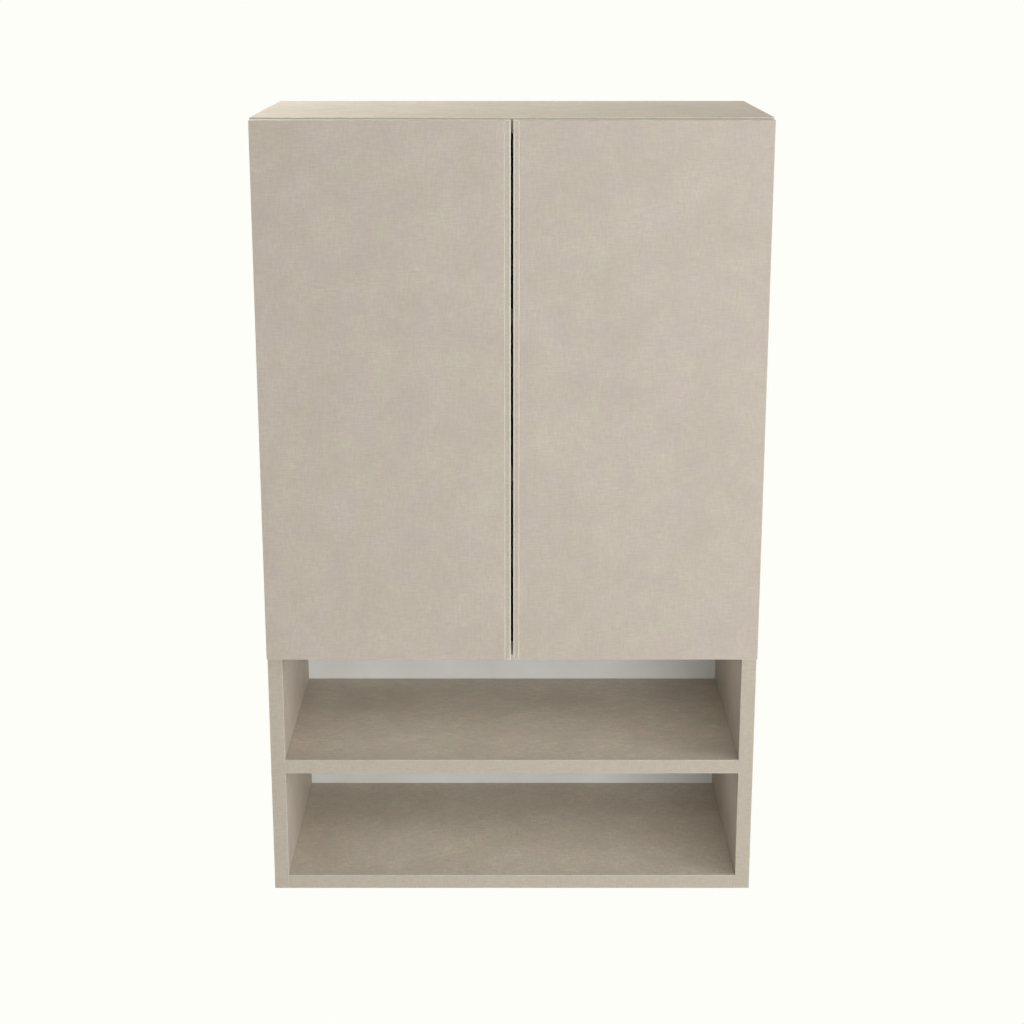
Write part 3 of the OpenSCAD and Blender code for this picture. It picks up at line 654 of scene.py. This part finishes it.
grey_nylon = moulded("grey_nylon", (0.275, 0.278, 0.285, 1.0), (0.235, 0.238, 0.245, 1.0), rough=0.48)
white_nylon = moulded("white_nylon", (0.780, 0.775, 0.750, 1.0), (0.730, 0.722, 0.690, 1.0), rough=0.40)
print("materials", grey_nylon.name, white_nylon.name)

# %% [markdown]
# ## Plated steel
# Zinc plating is bluish and cloudy, with a faint yellow cast. Nickel is warmer and brighter,
# and the links and pins are plain polished steel. All are metal, so what sets them apart is
# roughness and tint, and the tool lines run along each piece's usual direction.

# %% Plated steel
STEEL_RUBBED = (0.86, 0.86, 0.85, 1.0)
ROLLED_ACROSS = (60.0, 2600.0, 2600.0)
ROLLED_IN_DEPTH = (2600.0, 60.0, 2600.0)


def plated(name, colour, cast, rough, stretch):
    material, tree, shader = new_material(name)
    drawn = place(tree, lines, Stretch=stretch)
    edges = place(tree, wear_and_highlight, Amount=0.6, Patchy=0.4)
    base = mix_colours(tree, times(tree, drawn.outputs["Blotch"], 0.7), colour, cast)
    bright = mix_colours(tree, edges.outputs["Worn_and_highlit"], base, STEEL_RUBBED)
    join(tree, bright, shader.inputs["Base Color"])
    shader.inputs["Metallic"].default_value = 1.0
    blotched = spread(tree, drawn.outputs["Blotch"], 0.0, 1.0, to_low=rough, to_high=rough + 0.10)
    streaked = times(tree, drawn.outputs["Line"], 0.12)
    join(tree, plus(tree, blotched, streaked), shader.inputs["Roughness"])
    bump(tree, shader, drawn.outputs["Line"], strength=0.10, distance=0.00005)
    return material


zinc_plate = plated(
    "zinc_plate", (0.62, 0.64, 0.66, 1.0), (0.66, 0.65, 0.58, 1.0), 0.30, ROLLED_ACROSS)
nickel_plate = plated(
    "nickel_plate", (0.68, 0.655, 0.615, 1.0), (0.62, 0.60, 0.56, 1.0), 0.16, ROLLED_IN_DEPTH)
polished_steel = plated(
    "polished_steel", (0.70, 0.70, 0.695, 1.0), (0.62, 0.62, 0.61, 1.0), 0.22, ROLLED_IN_DEPTH)
print("materials", zinc_plate.name, nickel_plate.name, polished_steel.name)

# %% [markdown]
# ## Easing the edges
# The imported pieces have perfectly sharp edges, which no real board or pressing has. A live
# Bevel modifier would round every hole rim and joint alike. Here each piece is copied, its
# loose triangles are merged, and the bevel operator rounds chosen edges only. The new
# strips are marked in a corner attribute, which the edge wear and its painted highlights read,
# and so are the faces where a board is cut. A narrow strip would also tilt the shading of the
# large face beside it, and draw a crease over a whole panel, so a Weighted Normal modifier lets
# each large face set the normals at its own corners.

# %% Boxes of the finished boards, bands and all
def union(*names):
    boxes = [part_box(name) for name in names]
    low = Vector([min(b[0][i] for b in boxes) for i in range(3)])
    high = Vector([max(b[1][i] for b in boxes) for i in range(3)])
    return low, high


def with_bands(board, bands, axes):
    low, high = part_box(board)
    band_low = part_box(bands)[0]
    for axis in axes:
        low[axis] = band_low[axis]
    return low, high


board_boxes = [
    with_bands("side_panel_left", "side_edge_bands", (1, 2)),
    with_bands("side_panel_right", "side_edge_bands", (1, 2)),
    union("top_panel", "top_edge_bands"),
    with_bands("cupboard_floor", "board_edge_bands", (1,)),
    with_bands("niche_shelf", "board_edge_bands", (1,)),
    with_bands("bottom_panel", "board_edge_bands", (1,)),
    with_bands("adjustable_shelf_lower", "shelf_edge_bands", (1,)),
    with_bands("adjustable_shelf_upper", "shelf_edge_bands", (1,)),
    union("door_leaf_left", "door_edge_bands_left", "door_lipping_left"),
    union("door_leaf_right", "door_edge_bands_right", "door_lipping_right"),
]
print(len(board_boxes), "board boxes")


# %% Picking and rounding edges
BOARD_SHARP = 0.6
FITTING_SHARP = math.radians(35.0)
SQUARE = math.radians(60.0)
SLACK = 2e-5
ROUND_STEPS = 2


def on_box_corner(edge, box):
    planes = 0
    for axis in range(3):
        for side in box:
            if all(abs(v.co[axis] - side[axis]) < SLACK for v in edge.verts):
                planes += 1
    return planes >= 2


def on_any_board_corner(edge):
    return any(on_box_corner(edge, box) for box in board_boxes)


def edges_over(bm, angle):
    return [e for e in bm.edges if len(e.link_faces) == 2 and e.calc_face_angle(0.0) > angle]


def round_edges(bm, edges, width):
    if not edges:
        return []
    made = bmesh.ops.bevel(
        bm, geom=edges, offset=width, offset_type="OFFSET", affect="EDGES", segments=ROUND_STEPS,
        profile=0.5, material=-1, clamp_overlap=True)
    return made["faces"]


print("sharp from, in degrees:", [round(math.degrees(v), 1) for v in (BOARD_SHARP, FITTING_SHARP)])

# %% The copy that stands for a node
SAME_POINT = 2e-6
FLAT_WITHIN = math.radians(0.6)
SMOOTH_BELOW = math.radians(14.0)
LARGE_FACE_WEIGHT = 75


def merged_copy(name):
    bm = bmesh.new()
    bm.from_mesh(frame["nodes"][name].data)
    bmesh.ops.remove_doubles(bm, verts=bm.verts, dist=SAME_POINT)
    bmesh.ops.dissolve_limit(bm, angle_limit=FLAT_WITHIN, verts=bm.verts, edges=bm.edges)
    return bm


def finish_piece(bm, name, worn_faces, material, thin_axis=None):
    mark = bm.loops.layers.float_color.new("finish_marks")
    worn = set(worn_faces)
    for face in bm.faces:
        cut = thin_axis is not None and face not in worn and abs(face.normal[thin_axis]) < 0.5
        for loop in face.loops:
            loop[mark] = (float(face in worn), float(cut), 0.0, 1.0)
    source = frame["nodes"][name]
    mesh = bpy.data.meshes.new(name + "_eased")
    bm.to_mesh(mesh)
    bm.free()
    mesh.shade_smooth()
    mesh.set_sharp_from_angle(angle=SMOOTH_BELOW)
    mesh.materials.append(material)
    piece = bpy.data.objects.new(name + "_eased", mesh)
    bpy.context.scene.collection.objects.link(piece)
    even = piece.modifiers.new("even_normals", "WEIGHTED_NORMAL")
    even.mode = "FACE_AREA"
    even.weight = LARGE_FACE_WEIGHT
    even.keep_sharp = True
    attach(piece, body_of(source)[0])
    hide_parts(name)
    return piece


# %% [markdown]
# ## Rounding the boards
# The boards' outer corners are rounded by half a millimetre, as a trimmed edge band is. Each
# door board gets a slightly stronger round where its lipping starts, so that a fine line runs
# down the door; the doors' material paints its rounds pale at full strength, so the line is
# partly the round and partly a painted highlight. One width for all would be simpler, but then
# the line would be lost.

# %% Boards
ARRIS = 0.0005
LIPPING_ROUND = 0.0006
TOP_ROUND = 0.0009
X, Y, Z = range(3)
BOARDS = {
    "side_panel_left": (melamine_sides, X), "side_panel_right": (melamine_sides, X),
    "top_panel": (melamine_flat, Z), "cupboard_floor": (melamine_flat, Z),
    "niche_shelf": (melamine_flat, Z), "bottom_panel": (melamine_flat, Z),
    "adjustable_shelf_lower": (melamine_flat, Z), "adjustable_shelf_upper": (melamine_flat, Z),
    "door_leaf_left": (melamine_doors, Y), "door_leaf_right": (melamine_doors, Y),
}
for name, (material, thin_axis) in BOARDS.items():
    bm = merged_copy(name)
    corners = [e for e in edges_over(bm, BOARD_SHARP) if on_any_board_corner(e)]
    worn = list(round_edges(bm, corners, ARRIS))
    if name.startswith("door_leaf"):
        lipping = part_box(name.replace("leaf", "lipping"))
        beside = [e for e in edges_over(bm, BOARD_SHARP) if on_box_corner(e, lipping)]
        worn += list(round_edges(bm, beside, LIPPING_ROUND))
    finish_piece(bm, name, worn, material, thin_axis)
print("boards:", len(BOARDS))

# %% [markdown]
# ## Rounding the bands
# A band is rounded only along the corners of its whole board, and stays flush where it meets
# the board. Board and band could be one piece, but the real band is a strip of its own. The
# band above the doors gets the widest round, because it catches the light from behind.

# %% Bands
BANDS = {
    "side_edge_bands": (edge_band, ARRIS), "top_edge_bands": (top_band, TOP_ROUND),
    "board_edge_bands": (edge_band, ARRIS), "shelf_edge_bands": (edge_band, ARRIS),
    "door_edge_bands_left": (edge_band, ARRIS), "door_edge_bands_right": (edge_band, ARRIS),
}
for name, (material, width) in BANDS.items():
    bm = merged_copy(name)
    corners = [e for e in edges_over(bm, BOARD_SHARP) if on_any_board_corner(e)]
    finish_piece(bm, name, round_edges(bm, corners, width), material)
print("bands:", len(BANDS))

# %% [markdown]
# ## Rounding the lippings
# A lipping is a plain solid strip, so every corner is rounded. The two corners beside the gap
# go first, with the small round, and the others get the same round as the door board beside
# them. Done in one go, all would be alike, and the joint line would be as faint as the gap's.

# %% Lippings
LIPPINGS = ("door_lipping_left", "door_lipping_right")
for name in LIPPINGS:
    bm = merged_copy(name)
    gap_side = min(abs(v.co.x) for v in bm.verts)
    at_gap = [
        e for e in edges_over(bm, BOARD_SHARP)
        if all(abs(abs(v.co.x) - gap_side) < SLACK for v in e.verts)]
    worn = list(round_edges(bm, at_gap, ARRIS))
    worn += list(round_edges(bm, edges_over(bm, SQUARE), LIPPING_ROUND))
    finish_piece(bm, name, [face for face in worn if face.is_valid], lipping_plastic)
print("lippings:", len(LIPPINGS))

# %% [markdown]
# ## Fittings
# Pressed and turned metal has a tiny round on every corner that catches the light. The
# hinge parts are small, so the round is a tenth of a millimetre, and the wall rail and the
# hooks, which are folded from thicker strip, get more. Each piece could be listed with its own
# round, but pieces of one metal and one round are worked alike, so they are done in groups.

# %% Fittings
FITTINGS = [
    (hardboard, 0.0002, ["back_panel"]),
    (beech, 0.0003, ["wood_dowels"]),
    (grey_nylon, 0.0004, ["hanger_housings", "latch_housings"]),
    (white_nylon, 0.0003, ["latch_plunger_left", "latch_plunger_right"]),
    (zinc_plate, 0.0003, ["wall_rail", "hanger_hooks"]),
    (zinc_plate, 0.0002, ["mounting_plates", "strike_plate_left", "strike_plate_right"]),
    (zinc_plate, 0.0001, ["cam_locks"]),
    (nickel_plate, 0.0003, ["shelf_pins"]),
    (nickel_plate, 0.0002, ["cam_bolts"]),
    (nickel_plate, 0.0001, [
        "hanger_screws", "plate_screws", "hinge_adjusting_screws", "latch_screws",
        "hinge_arms_left", "hinge_arms_right", "hinge_cups_left", "hinge_cups_right",
        "cup_screws_left", "cup_screws_right"]),
    (polished_steel, 0.0001, [
        "arm_pins", "cup_pins_left", "cup_pins_right", "inner_links_left", "inner_links_right",
        "outer_links_left", "outer_links_right"]),
]
for material, width, names in FITTINGS:
    for name in names:
        bm = merged_copy(name)
        corners = [e for e in edges_over(bm, FITTING_SHARP) if e.is_convex]
        finish_piece(bm, name, round_edges(bm, corners, width), material)
    print(material.name, width, names)
